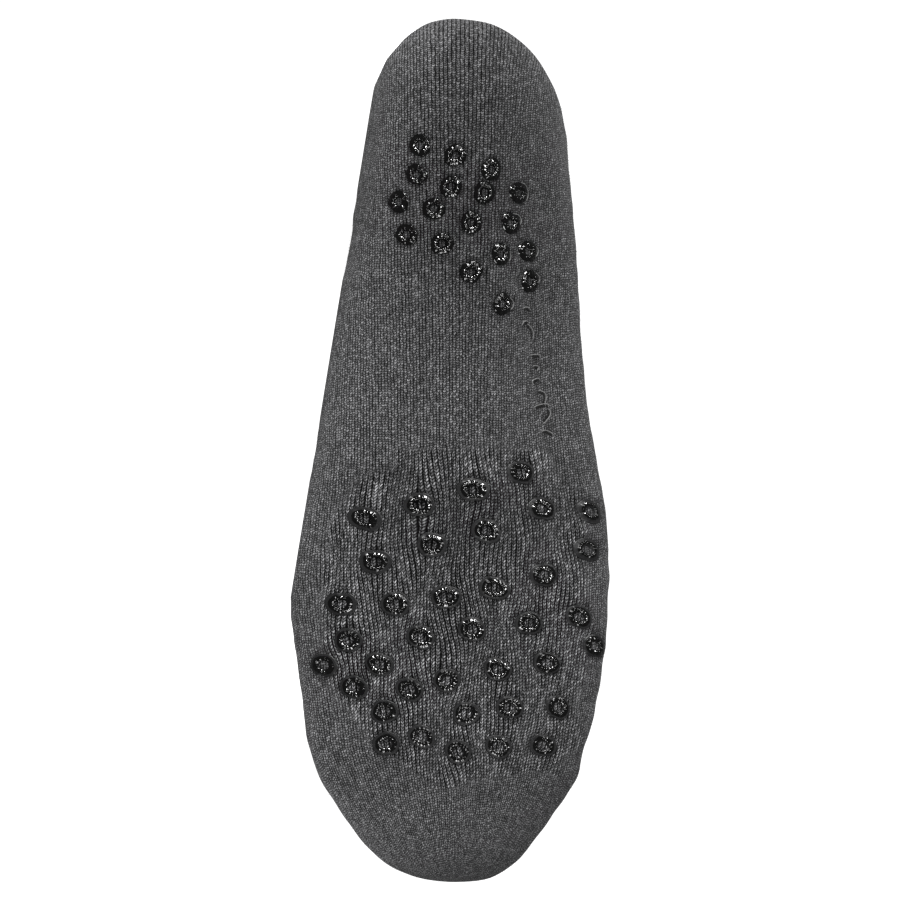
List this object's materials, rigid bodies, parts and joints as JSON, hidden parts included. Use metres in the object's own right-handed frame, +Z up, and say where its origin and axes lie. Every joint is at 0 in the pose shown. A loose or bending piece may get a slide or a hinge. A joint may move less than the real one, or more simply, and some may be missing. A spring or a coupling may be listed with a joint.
{
  "type": "slipper sock",
  "caption": "Knitted crew slipper sock, hollow and open at a ribbed cuff, with small raised silicone grip rings under heel and ball.",
  "frame": {"origin": "middle of the sock's footprint, on the floor that it lies on", "axes": "+X towards the toes, +Y up the leg away from the sole, +Z up, from the little toe's side on the floor to the big toe's side"},
  "size_m": [0.2624, 0.1915, 0.0979],
  "materials": {
    "charcoal_knit": "melange plain knit, matt",
    "black_silicone": "glossy"
  },
  "bodies": {
    "root": {"sock_knit": "charcoal_knit", "grip_heel_01": "black_silicone", "grip_heel_02": "black_silicone", "grip_heel_03": "black_silicone", "grip_heel_04": "black_silicone", "grip_heel_05": "black_silicone", "grip_heel_06": "black_silicone", "grip_heel_07": "black_silicone", "grip_heel_08": "black_silicone", "grip_heel_09": "black_silicone", "grip_heel_10": "black_silicone", "grip_heel_11": "black_silicone", "grip_heel_12": "black_silicone", "grip_heel_13": "black_silicone", "grip_heel_14": "black_silicone", "grip_heel_15": "black_silicone", "grip_heel_16": "black_silicone", "grip_heel_17": "black_silicone", "grip_heel_18": "black_silicone", "grip_ball_01": "black_silicone", "grip_ball_02": "black_silicone", "grip_ball_03": "black_silicone", "grip_ball_04": "black_silicone", "grip_ball_05": "black_silicone", "grip_ball_06": "black_silicone", "grip_ball_07": "black_silicone", "grip_ball_08": "black_silicone", "grip_ball_09": "black_silicone", "grip_ball_10": "black_silicone", "grip_ball_11": "black_silicone", "grip_ball_12": "black_silicone", "grip_ball_13": "black_silicone", "grip_ball_14": "black_silicone", "grip_ball_15": "black_silicone", "grip_ball_16": "black_silicone", "grip_ball_17": "black_silicone", "grip_ball_18": "black_silicone", "grip_ball_19": "black_silicone", "grip_ball_20": "black_silicone", "grip_ball_21": "black_silicone", "grip_ball_22": "black_silicone", "grip_ball_23": "black_silicone", "grip_ball_24": "black_silicone", "grip_ball_25": "black_silicone", "grip_ball_26": "black_silicone", "grip_ball_27": "black_silicone", "grip_ball_28": "black_silicone", "grip_ball_29": "black_silicone", "grip_ball_30": "black_silicone", "grip_ball_31": "black_silicone", "grip_ball_32": "black_silicone", "grip_ball_33": "black_silicone", "grip_ball_34": "black_silicone", "grip_ball_35": "black_silicone", "grip_ball_36": "black_silicone", "grip_ball_37": "black_silicone"}
  },
  "joints": []
}
